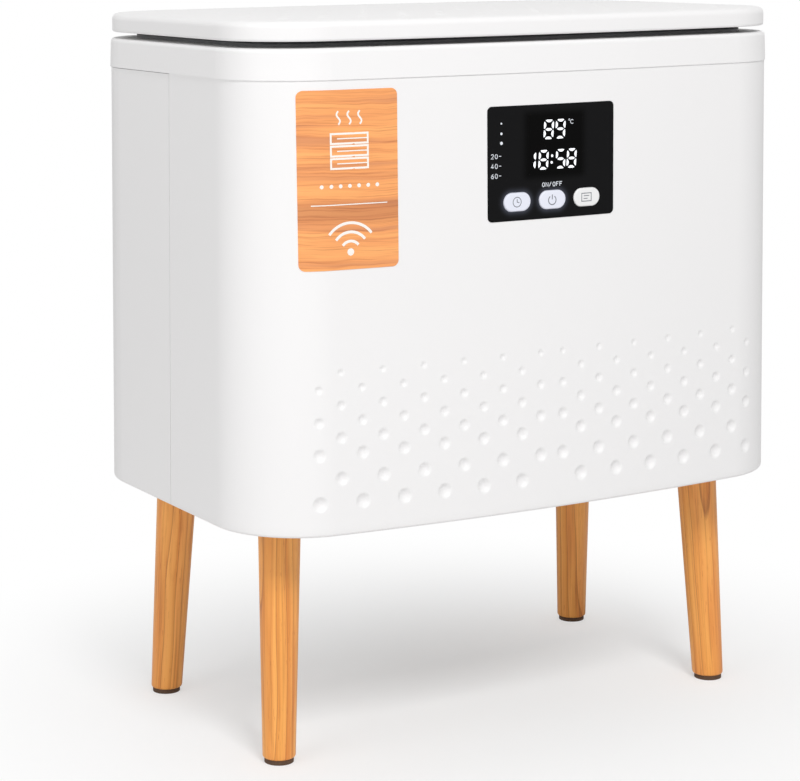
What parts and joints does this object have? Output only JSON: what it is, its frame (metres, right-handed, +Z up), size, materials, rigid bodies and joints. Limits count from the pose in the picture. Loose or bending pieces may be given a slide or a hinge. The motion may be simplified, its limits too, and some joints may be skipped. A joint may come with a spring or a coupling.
{
  "type": "towel warmer bucket",
  "caption": "Rounded rectangular towel warmer bucket on splayed wooden legs, with a hinged flat lid, a dimpled white case and a glossy control panel.",
  "frame": {"origin": "on the floor under the middle of the whole, hinges included", "axes": "+Z up, -Y towards the control panel, +X to the right seen from the front"},
  "size_m": [0.41, 0.2774, 0.463],
  "materials": {
    "case_white": "smooth satin white",
    "collar_grey": "dark grey",
    "tank_metal": "anodised, plain",
    "film": "amber film",
    "insulation": "fibre wool",
    "heater_metal": "plain",
    "base_white": "matt white",
    "steel": "zinc plated",
    "rubber_grey": "matt dark grey",
    "panel_black": "high gloss black",
    "housing_black": "matt black",
    "board_green": "solder mask",
    "display_grey": "display face",
    "button_white": "translucent white, lit",
    "wood_print": "printed wood grain",
    "leg_wood": "satin lacquer, honey brown",
    "core_steel": "lacquered steel",
    "relay_blue": "blue case",
    "terminal_green": "green",
    "cable_grey": "grey",
    "lead_red": "red silicone"
  },
  "bodies": {
    "casing": {"front_shell": "case_white", "rear_shell": "case_white", "top_rim": "case_white", "tank_collar": "collar_grey", "inner_tank": "tank_metal", "heating_film": "film", "insulation_wrap": "insulation", "base_heater": "heater_metal", "base_plate": "base_white", "base_screws": "steel", "shell_screws": "steel", "hinge_brackets": "steel", "hinge_bracket_screws": "steel", "hinge_pins": "steel", "panel_window": "panel_black", "panel_housing": "housing_black", "panel_screws": "steel", "control_board": "board_green", "display_module": "display_grey", "switches": "housing_black", "wood_sticker": "wood_print", "leg_front_left": "leg_wood", "leg_front_right": "leg_wood", "leg_rear_left": "leg_wood", "leg_rear_right": "leg_wood", "foot_pads": "rubber_grey", "leg_bolts": "steel", "leg_plates": "steel", "leg_plate_screws": "steel", "power_board": "board_green", "transformer": "core_steel", "relay": "relay_blue", "capacitors": "housing_black", "terminal_block": "terminal_green", "board_screws": "steel", "thermal_cutoff": "heater_metal", "temperature_sensor": "housing_black", "ribbon_cable": "cable_grey", "heater_leads": "lead_red", "cord_gland": "housing_black"},
    "lid": {"lid_cover": "case_white", "lid_liner": "base_white", "lid_insulation": "insulation", "lid_gasket": "rubber_grey", "lid_screws": "steel", "hinge_arms": "steel", "hinge_arm_screws": "steel"},
    "time_key": {"time_button": "button_white"},
    "power_key": {"power_button": "button_white"},
    "delay_key": {"delay_button": "button_white"}
  },
  "joints": [
    {"name": "lid_hinge", "type": "hinge", "parent": "casing", "child": "lid", "pos_m": [0, 0.13407, 0.45005], "axis": [-1, 0, 0], "range_deg": [0, 100]},
    {"name": "time_press", "type": "slide", "parent": "casing", "child": "time_key", "axis": [0, 1, 0], "range_m": [0, 0.001], "stiffness_N_per_m": 600},
    {"name": "power_press", "type": "slide", "parent": "casing", "child": "power_key", "axis": [0, 1, 0], "range_m": [0, 0.001], "stiffness_N_per_m": 600},
    {"name": "delay_press", "type": "slide", "parent": "casing", "child": "delay_key", "axis": [0, 1, 0], "range_m": [0, 0.001], "stiffness_N_per_m": 600}
  ]
}
